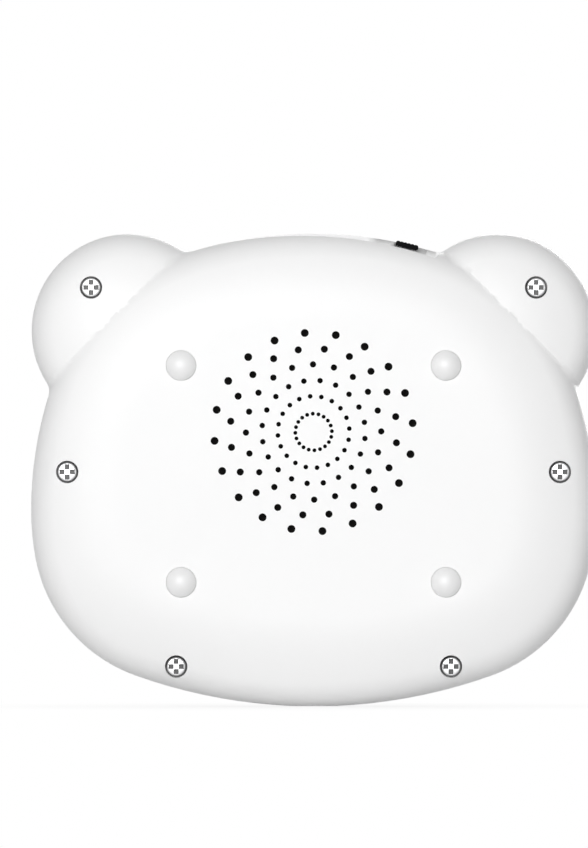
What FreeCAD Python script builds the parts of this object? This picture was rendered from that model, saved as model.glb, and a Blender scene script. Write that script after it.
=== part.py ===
import FreeCAD, Part
import math
import os

from FreeCAD import Vector

# Audio story player shaped as a bear's head, in millimetres.
# Seen from the back, X runs to the right, Z up through the ears and Y from the back to the face.
# The origin is at the middle of the foot of the whole player's box.

# Head outline, as arcs that run into each other from the crown down to the chin
head_height = 118.0
head_half_width = 70.5
widest_height = 48.8
crown_radius = 103.0
temple_radius = 52.0
upper_cheek_radius = 97.0
lower_cheek_radius = 64.6
jaw_radius = 38.5
chin_radius = 132.0
chin_flat_cut = 0.12

# Ears
ear_radius = 24.2
ear_x = 46.2
ear_below_crown = 0.2
ear_z = head_height - ear_radius - ear_below_crown
ear_drop = 3.5
ear_crease_radius = 4.0

# Depths, from the plane where the two shells part
back_depth = 25.0
face_depth = 19.0

# Rounded edge of head and ears: a tight rim, then a wide shoulder of slopes up to the flat
rim_radius = 9.0
shoulder_radius = 46.0
shoulder_angle = math.radians(20)
shoulder_slopes = 3

# Shell walls, and the tongue that lines the two shells up
wall = 2.0
cavity_flat_inset = 16.0
tongue_inset = 1.1
tongue_height = 1.6
tongue_gap = 0.1

# Step at the crown, where the back shell's arc is struck from a shifted centre
step_shift_x = -3.0
step_shift_z = -0.7
step_left_x = -23.0
step_pad_below_crown = 20.0
step_pad_foot = head_height - step_pad_below_crown

# Case screws with pan heads, and the bosses that they join
ear_screw_out = 9.3
ear_screw_up = 10.8
screw_places = ((ear_x + ear_screw_out, ear_z + ear_screw_up), (61.4, 58.4), (34.25, 9.9))
screw_head_radius = 2.6
screw_head_height = 1.9
screw_shank_radius = 1.45
screw_length = 12.0
screw_sink = 0.5
screw_seat_gap = 0.2
screw_pilot_radius = 1.25
screw_hole_gap = 0.2
seat_collar_wall = 1.2
seat_floor = 1.6
boss_radius = 2.9
back_boss_length = 4.0
pilot_spare = 1.5
gusset_thickness = 1.2
gusset_foot = 12.0

# Cross recess in the case screws' heads
recess_span = 3.7
recess_wing = 1.05
recess_depth = 1.1

# Rear feet: silicone domes, each held by a barbed plug
foot_places = ((33.0, 84.9), (33.0, 30.9))
foot_radius = 3.75
foot_stand = 2.2
foot_tip_cut = 0.1
foot_seat_depth = 0.6
foot_gap = 0.08
foot_neck_radius = 1.6
foot_barb_radius = 2.5
foot_barb_length = 2.2
foot_barb_tip = 1.2

# Speaker grille: six rings of round holes that lean into a spiral
grille_z = 68.35
ring_count = 6
holes_per_ring = 20
inner_ring_radius = 4.56
second_ring_radius = 8.93
ring_pitch = 3.96
inner_hole_radius = 0.49
hole_radius_growth = 0.099
spiral_start = 2.6
spiral_lean = 1.7
spiral_curl = 1.2
hole_sides = 8

# Loudspeaker behind the grille
cloth_thickness = 0.4
gasket_thickness = 1.0
flange_radius = 28.5
flange_width = 3.4
sheet = 0.8
basket_step_depth = 3.8
basket_depth = 9.2
basket_floor_radius = 17.0
basket_window_radius = 24.0
basket_window_width = 11.0
coil_radius = 7.05
coil_wall = 0.4
coil_gap = 0.35
coil_length = 8.0
plate_radius = 15.0
plate_thickness = 2.5
magnet_radius = 16.0
magnet_bore = 9.0
magnet_thickness = 6.0
cone_radius = 20.5
cone_rim = 1.0
cone_thickness = 0.5
cone_travel = 0.5
dust_cap_rise = 2.0
spider_thickness = 0.4
spider_wave = 0.7
surround_thickness = 0.45
locating_ring_wall = 1.2
locating_ring_gap = 0.3
speaker_screw_angles = (90, 210, 330)
speaker_screw_radius = 31.6
speaker_boss_radius = 2.6
speaker_washer_radius = 3.6
speaker_washer_thickness = 0.5
small_head_radius = 2.1
small_head_height = 1.4
small_shank_radius = 1.05
small_pilot_radius = 0.85
small_screw_length = 6.0
speaker_screw_length = 3.0

# Rechargeable cell below the speaker
cell_width = 50.0
cell_height = 22.0
cell_thickness = 8.0
cell_corner = 3.0
cell_z = 26.0
pad_thickness = 1.5
tray_gap = 0.4
tray_wall = 1.2
tray_height = 5.0
tray_notch = 30.0

# Main board, on standoffs behind the face
board_half_width = 50.0
board_foot_z = 30.5
board_shoulder_z = 83.0
board_neck_half_width = 30.0
board_thickness = 1.6
board_edge_gap = 1.0
board_corner = 3.0
standoff_length = 11.6
standoff_radius = 2.8
standoff_places = ((46.0, 78.5), (28.0, 34.5))

# Buttons on the face, and the key switches under them
eye_x = 26.0
eye_z = 71.0
eye_radius = 7.5
volume_x = 42.0
volume_z = 42.5
volume_radius = 5.5
nose_z = 50.0
nose_half_width = 12.5
nose_half_height = 9.0
button_stand = 1.2
button_gap = 0.3
button_edge_chamfer = 0.8
button_flange = 1.2
button_flange_thickness = 1.0
button_flange_gap = 0.1
button_well_gap = 0.4
button_well_wall = 1.0
button_well_height = 3.2
button_stem_radius = 2.2
key_travel = 0.8
key_housing = 6.0
key_housing_height = 3.6
plunger_radius = 1.6
plunger_gap = 0.3
plunger_rise = 1.3
plunger_depth = 1.6
plunger_spare = 0.3

# Power switch at the crown
switch_x = 24.4
switch_travel = 2.0
knob_length = 5.7
knob_width = 3.2
knob_top = 0.4
knob_foot = -0.9
knob_corner = 0.5
knob_ribs = 5
knob_rib_pitch = 0.9
knob_groove_width = 0.4
knob_groove_depth = 0.12
pocket_depth = 1.6
pocket_end_gap = 0.3
pocket_side_gap = 0.35
pocket_floor = 1.4
lever_length = 2.4
lever_width = 1.6
lever_gap = 0.3
switch_can_length = 8.6
switch_can_width = 3.6
switch_can_height = 4.4
switch_can_gap = 0.3
switch_can_sheet = 0.35
slider_block_height = 1.6

# Sockets in the crown, and the status light
headphone_x = -18.0
plug_bore_radius = 1.8
plug_bore_length = 12.0
socket_barrel_radius = 2.5
socket_body_width = 6.6
socket_body_length = 12.0
socket_body_depth = 5.2
socket_gap = 0.2
socket_body_sink = 1.4
socket_sink = 0.2
charging_width = 8.94
charging_height = 3.26
charging_length = 7.3
charging_sheet = 0.3
charging_tongue_width = 6.7
charging_tongue_thickness = 0.7
charging_tongue_length = 5.0
status_z = 36.0
status_lens_radius = 1.5
status_lens_flange = 0.8
status_lens_proud = 0.1
status_light_width = 1.6
status_light_height = 0.8
status_light_gap = 1.0

# Parts on the back of the board, and the leads to them
chip_height = 1.2
audio_chip_size = 9.0
memory_chip_width = 8.0
memory_chip_height = 6.0
audio_chip_x = -38.0
memory_chip_x = -38.0
audio_chip_z = 66.0
memory_chip_z = 52.0
capacitor_radius = 2.5
capacitor_height = 5.4
capacitor_places = ((38.0, 70.0), (38.0, 62.0), (38.0, 54.0))
plug_width = 6.0
plug_depth = 4.4
plug_length = 5.0
cell_plug_x = 16.0
speaker_plug_x = -16.0
plug_z = 34.5
terminal_width = 9.0
terminal_height = 5.0
terminal_thickness = 1.0
lug_width = 2.0
lug_length = 3.0
lug_thickness = 0.4

# Places worked out from the sizes above
back_reach = back_depth + foot_stand - foot_tip_cut
face_reach = face_depth + button_stand
parting_y = (back_reach - face_reach) / 2
back_y = parting_y - back_depth
face_y = parting_y + face_depth
back_inner_y = back_y + wall
face_inner_y = face_y - wall
edge_reach = rim_radius + (shoulder_radius - rim_radius) * math.sin(shoulder_angle)
edge_drop = shoulder_radius - (shoulder_radius - rim_radius) * math.cos(shoulder_angle)
crown_centre = (0.0, head_height - crown_radius)
board_front_y = face_inner_y - standoff_length
board_back_y = board_front_y - board_thickness
key_top_y = board_front_y + key_housing_height
plunger_top_y = key_top_y + plunger_rise
flange_y = back_inner_y + cloth_thickness + gasket_thickness
far = 4 * head_height
along_y = Vector(0, 1, 0)
mirror_x = Vector(1, 0, 0)


def cylinder(x, z, radius, start_y, end_y):
    """Round bar along Y."""
    return Part.makeCylinder(radius, end_y - start_y, Vector(x, start_y, z), along_y)


def tube(x, z, outer_radius, bore_radius, start_y, end_y):
    outer = cylinder(x, z, outer_radius, start_y, end_y)
    return outer.cut(cylinder(x, z, bore_radius, start_y, end_y))


def block(low_x, high_x, low_y, high_y, low_z, high_z):
    corner = Vector(low_x, low_y, low_z)
    return Part.makeBox(high_x - low_x, high_y - low_y, high_z - low_z, corner)


def centred_block(x, width, low_y, high_y, z, height):
    return block(x - width / 2, x + width / 2, low_y, high_y, z - height / 2, z + height / 2)


def turned(x, z, outline):
    """Solid turned about the line along Y at x, z, from points of radius and y."""
    corners = [Vector(x + radius, y, z) for radius, y in outline]
    face = Part.Face(Part.makePolygon(corners + corners[:1]))
    return face.revolve(Vector(x, 0, z), along_y, 360)


def mirrored(shape):
    return shape.mirror(Vector(), mirror_x)


def fused(shapes):
    return shapes[0].multiFuse(shapes[1:]).removeSplitter()


def edges_along_y(shape):
    return [edge for edge in shape.Edges if abs(edge.tangentAt(edge.FirstParameter).y) > 0.999]


def on_crown(shape, angle):
    """Carry a shape made at the top of the head along the crown's arc, in radians to the right."""
    carried = shape.copy()
    carried.rotate(Vector(crown_centre[0], 0, crown_centre[1]), along_y, math.degrees(angle))
    return carried


def crown_angle(x):
    return math.asin(x / crown_radius)


def touching_centre(first, first_radius, second, second_radius, radius):
    """Centre of the arc that touches two larger arcs from inside, on the right side."""
    from_first = first_radius - radius
    from_second = second_radius - radius
    across_x = second[0] - first[0]
    across_z = second[1] - first[1]
    span = math.hypot(across_x, across_z)
    along = (from_first ** 2 - from_second ** 2 + span ** 2) / (2 * span)
    aside = math.sqrt(from_first ** 2 - along ** 2)
    foot_x = first[0] + along * across_x / span
    foot_z = first[1] + along * across_z / span
    one = (foot_x - aside * across_z / span, foot_z + aside * across_x / span)
    other = (foot_x + aside * across_z / span, foot_z - aside * across_x / span)
    return max(one, other)


def direction(start, end):
    return math.atan2(end[1] - start[1], end[0] - start[0])


def head_arcs():
    """Arcs of the right half from crown to chin: centre, radius, start angle, end angle."""
    chin = (0.0, chin_radius - chin_flat_cut)
    upper_cheek = (head_half_width - upper_cheek_radius, widest_height)
    lower_cheek = (head_half_width - lower_cheek_radius, widest_height)
    temple = touching_centre(
        crown_centre, crown_radius, upper_cheek, upper_cheek_radius, temple_radius
    )
    jaw = touching_centre(lower_cheek, lower_cheek_radius, chin, chin_radius, jaw_radius)
    crown_end = direction(crown_centre, temple)
    temple_end = direction(upper_cheek, temple)
    cheek_end = direction(lower_cheek, jaw)
    jaw_end = direction(chin, jaw)
    return (
        (crown_centre, crown_radius, math.pi / 2, crown_end),
        (temple, temple_radius, crown_end, temple_end),
        (upper_cheek, upper_cheek_radius, temple_end, 0.0),
        (lower_cheek, lower_cheek_radius, 0.0, cheek_end),
        (jaw, jaw_radius, cheek_end, jaw_end),
        (chin, chin_radius, jaw_end, -math.pi / 2),
    )


def on_arc(centre, radius, angle, y):
    return Vector(centre[0] + radius * math.cos(angle), y, centre[1] + radius * math.sin(angle))


def head_outline(inset, y):
    right = []
    for centre, radius, start, end in head_arcs():
        angles = (start, (start + end) / 2, end)
        right.append(Part.Arc(*[on_arc(centre, radius - inset, turn, y) for turn in angles]).toShape())
    left = [mirrored(edge) for edge in right]
    return Part.Face(Part.Wire(Part.__sortEdges__(right + left)))


def outline_slab(inset, low_y, high_y):
    """Head and ears as a flat slab, a given distance inside the outline."""
    slab = head_outline(inset, low_y).extrude(Vector(0, high_y - low_y, 0))
    ears = [cylinder(side * ear_x, ear_z, ear_radius - inset, low_y, high_y) for side in (-1, 1)]
    return slab.multiFuse(ears)


def rounded_section(centre, radius, angle, closing, low_y, high_y):
    """Face through the rounded edge at one place of an outline, closed at a distance inside it."""

    def at(distance, y):
        return on_arc(centre, radius - distance, angle, y)

    def bend(distance, y, bend_radius, turns, way):
        points = []
        for turn in turns:
            outward = bend_radius * math.sin(turn)
            upward = bend_radius * math.cos(turn)
            points.append(at(distance - outward, y - way * upward))
        return points

    rim_turns = (math.pi / 2, (math.pi / 2 + shoulder_angle) / 2, shoulder_angle)
    shares = [1 - number / shoulder_slopes for number in range(shoulder_slopes + 1)]
    shoulder_turns = [shoulder_angle * share for share in shares]
    edges = []
    for way, flat_y in ((1, low_y), (-1, high_y)):
        rim_y = flat_y + way * edge_drop
        shoulder_y = flat_y + way * shoulder_radius
        rim = bend(rim_radius, rim_y, rim_radius, rim_turns, way)
        edges.append(Part.Arc(*rim).toShape())
        shoulder = bend(edge_reach, shoulder_y, shoulder_radius, shoulder_turns, way)
        edges += [Part.makeLine(start, end) for start, end in zip(shoulder, shoulder[1:])]
        if closing > edge_reach:
            edges.append(Part.makeLine(at(edge_reach, flat_y), at(closing, flat_y)))
    edges.append(Part.makeLine(at(0, low_y + edge_drop), at(0, high_y - edge_drop)))
    edges.append(Part.makeLine(at(closing, low_y), at(closing, high_y)))
    return Part.Face(Part.Wire(Part.__sortEdges__(edges)))


def cavity_section(centre, radius, angle, closing, low_y, high_y):
    """Face through the moulded cavity, which follows the rounded edge in two straight slopes."""
    slope_turn = math.pi / 4
    slope_inset = rim_radius - (rim_radius - wall) * math.sin(slope_turn)
    corners = []
    for way, flat_y in ((1, low_y), (-1, high_y)):
        slope_y = flat_y + way * (edge_drop - (rim_radius - wall) * math.cos(slope_turn))
        side = [
            (closing, flat_y + way * wall), (cavity_flat_inset, flat_y + way * wall),
            (slope_inset, slope_y), (wall, flat_y + way * edge_drop),
        ]
        corners += side[::way]
    points = [on_arc(centre, radius - inset, angle, y) for inset, y in corners]
    return Part.Face(Part.makePolygon(points + points[:1]))


def head_form(section_at, closing, end_inset):
    """Solid of the head alone, from its section round the edge and a slab in its middle."""
    depth = face_y - back_y - 2 * end_inset
    pieces = [head_outline(closing, back_y + end_inset).extrude(Vector(0, depth, 0))]
    for centre, radius, start, end in head_arcs():
        section = section_at(centre, radius, start, closing, back_y, face_y)
        axis_point = Vector(centre[0], 0, centre[1])
        piece = section.revolve(axis_point, along_y, math.degrees(start - end))
        pieces += [piece, mirrored(piece)]
    return fused(pieces).Solids[0]


def ear_form(side, section_at):
    centre = (side * ear_x, ear_z)
    low_y = back_y + ear_drop
    high_y = face_y - ear_drop
    section = section_at(centre, ear_radius, 0.0, ear_radius, low_y, high_y)
    return section.revolve(Vector(centre[0], 0, centre[1]), along_y, 360)


def lies_on(edge, solid):
    middle = edge.valueAt((edge.FirstParameter + edge.LastParameter) / 2)
    return Part.Vertex(middle).distToShape(solid.Shells[0])[0] < 0.001


def creased_form():
    """Outer surface of the whole player, with soft creases where the ears leave the head."""
    head = head_form(rounded_section, edge_reach, 0)
    ears = [ear_form(side, rounded_section) for side in (-1, 1)]
    whole = head.multiFuse(ears).removeSplitter().Solids[0]
    creases = []
    for edge in whole.Edges:
        if lies_on(edge, head) and any(lies_on(edge, ear) for ear in ears):
            creases.append(edge)
    whole = whole.makeFillet(ear_crease_radius, creases)
    below = block(-far, far, -far, far, -far, 0)
    return whole.cut(below)


def cavity_form():
    head = head_form(cavity_section, cavity_flat_inset, wall)
    ears = [ear_form(side, cavity_section) for side in (-1, 1)]
    return fused([head] + ears).Solids[0]


outer_form = creased_form()
inner_form = cavity_form()


def skin_y(x, z):
    """Y of the outer surface of the back at a place."""
    line = Part.makeLine(Vector(x, -far, z), Vector(x, far, z))
    return line.common(outer_form).BoundBox.YMin


def sided(places):
    """Every place on the right side, and its mirror image on the left."""
    return [(side * x, z) for x, z in places for side in (-1, 1)]


def crown_zone(left_x, foot_z):
    """Room over the crown between the step's left end and the right ear."""
    zone = block(left_x, ear_x, -far, far, foot_z, far)
    return zone.cut(cylinder(ear_x, ear_z, ear_radius, -far, far))


def step_cylinder(inset):
    """Disc under the arc of the back shell's crown, a given distance inside it."""
    x = crown_centre[0] + step_shift_x
    z = crown_centre[1] + step_shift_z
    return cylinder(x, z, crown_radius - inset, -far, far)


def tongue_break():
    """Room between the ears, where the shells have no tongue and groove."""
    half = ear_x - ear_radius / 2
    return block(-half, half, -far, far, ear_z, far)


def pan_screw(x, z, seat_y, head_radius, head_height, shank_radius, length):
    """Pan-head screw whose head looks to the back and sits on seat_y."""
    top_y = seat_y - head_height
    slope = head_height / 2
    return turned(x, z, (
        (0, top_y), (head_radius - slope, top_y), (head_radius, top_y + slope),
        (head_radius, seat_y), (shank_radius, seat_y), (shank_radius, seat_y + length),
        (0, seat_y + length),
    ))


def seat_y_at(x, z):
    """Y of the face that a case screw's head sits on."""
    return skin_y(x, z) + screw_sink + screw_head_height


def gusset(x, z, low_y, high_y):
    """Rib from a boss straight out through the wall, to be trimmed by the shell."""
    ear = z > ear_z
    centre = (math.copysign(ear_x, x), ear_z) if ear else (0.0, widest_height)
    away = direction(centre, (x, z))
    rib = block(0, gusset_foot, low_y, high_y, -gusset_thickness / 2, gusset_thickness / 2)
    rib.rotate(Vector(), along_y, -math.degrees(away))
    rib.translate(Vector(x, 0, z))
    return rib


def back_boss(x, z):
    """Collar round a screw's seat, and the short boss under it."""
    seat = seat_y_at(x, z)
    collar_radius = screw_head_radius + screw_seat_gap + seat_collar_wall
    collar = cylinder(x, z, collar_radius, back_y, seat + seat_floor)
    neck = cylinder(x, z, boss_radius, back_y, seat + back_boss_length)
    return collar.fuse(neck)


def speaker_screw_places():
    places = []
    for degrees in speaker_screw_angles:
        turn = math.radians(degrees)
        x = speaker_screw_radius * math.cos(turn)
        places.append((x, grille_z + speaker_screw_radius * math.sin(turn)))
    return places


def cell_tray():
    """Low wall round the cell, open in the middle of its top for the leads."""
    half_width = cell_width / 2 + tray_gap
    half_height = cell_height / 2 + tray_gap
    top_y = back_inner_y + pad_thickness + tray_height
    outer = centred_block(
        0, 2 * (half_width + tray_wall), back_y, top_y, cell_z, 2 * (half_height + tray_wall)
    )
    inner = centred_block(0, 2 * half_width, back_y, top_y, cell_z, 2 * half_height)
    notch = centred_block(0, tray_notch, back_y, top_y, cell_z + half_height, 2 * half_height)
    return outer.cut(inner).cut(notch)


def many_sided_bar(x, z, radius, low_y, high_y):
    """Bar with as many sides as make a small hole look round."""
    corners = []
    for number in range(hole_sides + 1):
        corners.append(on_arc((x, z), radius, 2 * math.pi * number / hole_sides, low_y))
    return Part.Face(Part.makePolygon(corners)).extrude(Vector(0, high_y - low_y, 0))


def grille_holes():
    holes = []
    for ring in range(ring_count):
        radius = inner_ring_radius
        if ring:
            radius = second_ring_radius + ring_pitch * (ring - 1)
        start = spiral_start + spiral_lean * ring + spiral_curl * ring ** 2
        for number in range(holes_per_ring):
            turn = math.radians(start + 360 / holes_per_ring * number)
            x = radius * math.cos(turn)
            z = grille_z + radius * math.sin(turn)
            hole_radius = inner_hole_radius + hole_radius_growth * ring
            holes.append(many_sided_bar(x, z, hole_radius, back_y - wall, back_inner_y + wall))
    return Part.makeCompound(holes)


def rear_shell():
    half = block(-far, far, -far, parting_y, -far, far)
    back_of_form = outer_form.common(half)
    shell = back_of_form.cut(inner_form)
    groove = outline_slab(
        tongue_inset - tongue_gap, parting_y - tongue_height - tongue_gap, parting_y
    )
    shell = shell.cut(groove.cut(tongue_break()))

    crown_pad = crown_zone(step_left_x, step_pad_foot).cut(step_cylinder(wall))
    shell = shell.fuse(crown_pad.common(back_of_form))
    shell = shell.cut(crown_zone(step_left_x, crown_centre[1]).cut(step_cylinder(0)))

    ring_radius = flange_radius + locating_ring_gap
    ring_top_y = flange_y + sheet
    inside = [tube(0, grille_z, ring_radius + locating_ring_wall, ring_radius, back_y, ring_top_y)]
    inside += [cylinder(x, z, speaker_boss_radius, back_y, ring_top_y) for x, z in speaker_screw_places()]
    inside += [back_boss(x, z) for x, z in sided(screw_places)]
    inside.append(cell_tray())
    inside = fused(inside).cut(cylinder(0, grille_z, ring_radius, back_inner_y, ring_top_y))
    shell = shell.fuse(inside.common(back_of_form))

    holes = []
    for x, z in sided(screw_places):
        seat = seat_y_at(x, z)
        holes.append(cylinder(x, z, screw_head_radius + screw_seat_gap, -far, seat))
        holes.append(cylinder(x, z, screw_shank_radius + screw_hole_gap, seat, parting_y))
    for x, z in speaker_screw_places():
        pilot_end_y = flange_y + sheet - speaker_screw_length
        holes.append(cylinder(x, z, small_pilot_radius, pilot_end_y, parting_y))
    for x, z in sided(foot_places):
        seat = skin_y(x, z) + foot_seat_depth
        holes.append(cylinder(x, z, foot_radius + foot_gap, -far, seat))
        holes.append(cylinder(x, z, foot_neck_radius + foot_gap, seat, back_inner_y + wall))
    shell = shell.cut(Part.makeCompound(holes))
    return shell.cut(grille_holes()).removeSplitter()


def button_places():
    """Name, place and round radius of each button, None for the oval nose."""
    return {
        "play": (0.0, nose_z, None),
        "previous": (eye_x, eye_z, eye_radius),
        "next": (-eye_x, eye_z, eye_radius),
        "volume_down": (volume_x, volume_z, volume_radius),
        "volume_up": (-volume_x, volume_z, volume_radius),
    }


def button_bar(x, z, radius, spread, low_y, high_y):
    """Bar with a button's outline, made larger all round by spread."""
    if radius:
        return cylinder(x, z, radius + spread, low_y, high_y)
    ellipse = Part.Ellipse(Vector(), nose_half_width + spread, nose_half_height + spread)
    edge = ellipse.toShape()
    edge.rotate(Vector(), Vector(1, 0, 0), 90)
    edge.translate(Vector(x, low_y, z))
    return Part.Face(Part.Wire([edge])).extrude(Vector(0, high_y - low_y, 0))


def pocket_block(spread, high, low, low_y, high_y):
    """Block over the power switch at the top of the head, measured from the crown's arc."""
    half = (knob_length + switch_travel) / 2 + pocket_end_gap + spread
    return block(-half, half, low_y, high_y, head_height + low, head_height + high)


def knob_y():
    """Middle of the knob's width, over the slide switch on the back of the board."""
    return board_back_y - switch_can_width / 2


def front_shell():
    half = block(-far, far, parting_y, far, -far, far)
    front_of_form = outer_form.common(half)
    shell = front_of_form.cut(inner_form)
    tongue_low_y = parting_y - tongue_height
    tongue_high_y = parting_y + tongue_gap
    tongue = outline_slab(tongue_inset, tongue_low_y, tongue_high_y)
    tongue = tongue.cut(outline_slab(wall, tongue_low_y, tongue_high_y))
    shell = shell.fuse(tongue.cut(tongue_break()))

    switch_angle = crown_angle(switch_x)
    pocket_high_y = knob_y() + knob_width / 2 + pocket_side_gap
    floor_foot = -pocket_depth - pocket_floor
    well = pocket_block(wall, -wall / 2, floor_foot, parting_y, pocket_high_y + wall / 2)
    inside = [on_crown(well, switch_angle)]
    for x, z in sided(standoff_places):
        inside.append(cylinder(x, z, standoff_radius, board_front_y, face_y))
    for x, z, radius in button_places().values():
        inner_spread = button_flange + button_well_gap
        outer_spread = inner_spread + button_well_wall
        low_y = face_inner_y - button_well_height
        well_wall = button_bar(x, z, radius, outer_spread, low_y, face_y)
        inside.append(well_wall.cut(button_bar(x, z, radius, inner_spread, low_y, face_inner_y)))
    for x, z in sided(screw_places):
        inside.append(gusset(x, z, parting_y, face_y))
    shell = shell.fuse(fused(inside).common(front_of_form))
    bosses = []
    for x, z in sided(screw_places):
        tip_y = seat_y_at(x, z) + back_boss_length
        bosses.append(cylinder(x, z, boss_radius, tip_y, parting_y).common(inner_form))
        bosses.append(cylinder(x, z, boss_radius, parting_y, face_y).common(outer_form))
    shell = shell.multiFuse(bosses)

    holes = []
    for x, z, radius in button_places().values():
        holes.append(button_bar(x, z, radius, button_gap, face_inner_y - wall, far))
    for x, z in sided(screw_places):
        tip_y = seat_y_at(x, z) + back_boss_length
        pilot_end = seat_y_at(x, z) + screw_length + pilot_spare
        holes.append(cylinder(x, z, screw_pilot_radius, tip_y, pilot_end))
    for x, z in sided(standoff_places):
        pilot_end = board_back_y + small_screw_length + pilot_spare
        holes.append(cylinder(x, z, small_pilot_radius, board_front_y, pilot_end))
    holes.append(cylinder(0, status_z, status_lens_radius + button_flange_gap, board_front_y, far))
    pocket = pocket_block(0, wall, -pocket_depth, parting_y - wall, pocket_high_y)
    holes.append(on_crown(pocket, switch_angle))
    slot_half = (lever_length + switch_travel) / 2 + lever_gap
    slot_half_width = lever_width / 2 + lever_gap
    slot = block(
        -slot_half, slot_half, knob_y() - slot_half_width, knob_y() + slot_half_width,
        head_height + floor_foot - wall, head_height,
    )
    holes.append(on_crown(slot, switch_angle))
    barrel_room = Part.makeCylinder(
        socket_barrel_radius + socket_gap, 2 * wall + socket_sink,
        Vector(0, socket_y(), head_height - 2 * wall), Vector(0, 0, 1),
    )
    holes.append(on_crown(barrel_room, crown_angle(headphone_x)))
    holes.append(charging_outline(socket_gap, head_height - 2 * wall, head_height + wall))
    return shell.cut(Part.makeCompound(holes)).removeSplitter()


def case_screws():
    screws = []
    for x, z in sided(screw_places):
        seat = seat_y_at(x, z)
        screw = pan_screw(
            x, z, seat, screw_head_radius, screw_head_height, screw_shank_radius, screw_length
        )
        top_y = seat - screw_head_height
        for width, height in ((recess_span, recess_wing), (recess_wing, recess_span)):
            screw = screw.cut(centred_block(x, width, top_y, top_y + recess_depth, z, height))
        screws.append(screw)
    return Part.makeCompound(screws)


def small_screw(x, z, seat_y, length):
    return pan_screw(
        x, z, seat_y, small_head_radius, small_head_height, small_shank_radius, length
    )


def rear_foot(x, z):
    """Silicone dome with a neck through the shell and a barb behind it."""
    skin = skin_y(x, z)
    seat = skin + foot_seat_depth
    inner = back_inner_y
    dome_radius = (foot_radius ** 2 + foot_stand ** 2) / (2 * foot_stand)
    dome = Part.makeSphere(dome_radius, Vector(x, skin - foot_stand + dome_radius, z))
    dome = dome.common(cylinder(x, z, foot_radius, skin - foot_stand + foot_tip_cut, skin))
    body = turned(x, z, (
        (0, skin), (foot_radius, skin), (foot_radius, seat), (foot_neck_radius, seat),
        (foot_neck_radius, inner), (foot_barb_radius, inner),
        (foot_barb_tip, inner + foot_barb_length), (0, inner + foot_barb_length),
    ))
    return fused([dome, body])


def rear_feet():
    return Part.makeCompound([rear_foot(x, z) for x, z in sided(foot_places)])


def grille_cloth():
    return cylinder(0, grille_z, flange_radius, back_inner_y, back_inner_y + cloth_thickness)


def speaker_gasket():
    start_y = back_inner_y + cloth_thickness
    return tube(0, grille_z, flange_radius, flange_radius - flange_width, start_y, flange_y)


def speaker_frame():
    """Pressed steel basket: flange, step, sloping wall with windows, floor."""
    mouth = flange_radius - flange_width
    floor_y = flange_y + basket_depth
    step_y = flange_y + basket_step_depth
    plate_bore = coil_radius + coil_gap + coil_wall
    frame = turned(0, grille_z, (
        (mouth, flange_y), (flange_radius, flange_y), (flange_radius, flange_y + sheet),
        (mouth + sheet, flange_y + sheet), (mouth + sheet, step_y + sheet),
        (basket_floor_radius + sheet, floor_y), (plate_bore, floor_y),
        (plate_bore, floor_y - sheet), (basket_floor_radius, floor_y - sheet),
        (mouth, step_y),
    ))
    windows = []
    for quarter in range(4):
        window = block(
            basket_floor_radius - sheet, basket_window_radius,
            step_y + sheet, floor_y - 2 * sheet,
            -basket_window_width / 2, basket_window_width / 2,
        )
        window.rotate(Vector(), along_y, 45 + 90 * quarter)
        window.translate(Vector(0, 0, grille_z))
        windows.append(window)
    return frame.cut(Part.makeCompound(windows))


def speaker_top_plate():
    start_y = flange_y + basket_depth
    bore = coil_radius + coil_gap + coil_wall
    return tube(0, grille_z, plate_radius, bore, start_y, start_y + plate_thickness)


def speaker_magnet():
    start_y = flange_y + basket_depth + plate_thickness
    return tube(0, grille_z, magnet_radius, magnet_bore, start_y, start_y + magnet_thickness)


def speaker_yoke():
    """Back plate with the pole that stands in the voice coil."""
    pole_y = flange_y + basket_depth
    plate_y = pole_y + plate_thickness + magnet_thickness
    end_y = plate_y + plate_thickness
    pole = coil_radius - coil_gap - coil_wall / 2
    chamfer = plate_thickness / 4
    return turned(0, grille_z, (
        (0, pole_y), (pole - chamfer, pole_y), (pole, pole_y + chamfer), (pole, plate_y),
        (plate_radius, plate_y), (plate_radius, end_y - chamfer),
        (plate_radius - chamfer, end_y), (0, end_y),
    ))


def cone_rim_y():
    """Y of the cone's outer rim, far enough in for the cone to clear the cloth."""
    return flange_y + cone_travel + surround_thickness + cone_thickness


def cone_neck_y():
    return flange_y + basket_step_depth + cone_thickness


def speaker_cone():
    neck = coil_radius + coil_wall / 2
    rim_y = cone_rim_y()
    neck_y = cone_neck_y()
    return turned(0, grille_z, (
        (cone_radius, rim_y), (cone_radius, rim_y + cone_thickness),
        (cone_radius - cone_rim, rim_y + cone_thickness), (neck, neck_y + cone_thickness),
        (neck, neck_y), (cone_radius - cone_rim, rim_y),
    ))


def speaker_dust_cap():
    """Domed cap over the voice coil, glued into the cone."""
    radius = coil_radius - coil_wall / 2
    foot_y = cone_neck_y()
    sphere_radius = (radius ** 2 + dust_cap_rise ** 2) / (2 * dust_cap_rise)
    centre = Vector(0, foot_y - dust_cap_rise + sphere_radius, grille_z)
    cap = Part.makeSphere(sphere_radius, centre).cut(
        Part.makeSphere(sphere_radius - cone_thickness, centre)
    )
    return cap.common(cylinder(0, grille_z, radius, -far, foot_y))


def voice_coil():
    outer = coil_radius + coil_wall / 2
    start_y = cone_neck_y()
    return tube(0, grille_z, outer, outer - coil_wall, start_y, start_y + coil_length)


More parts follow.
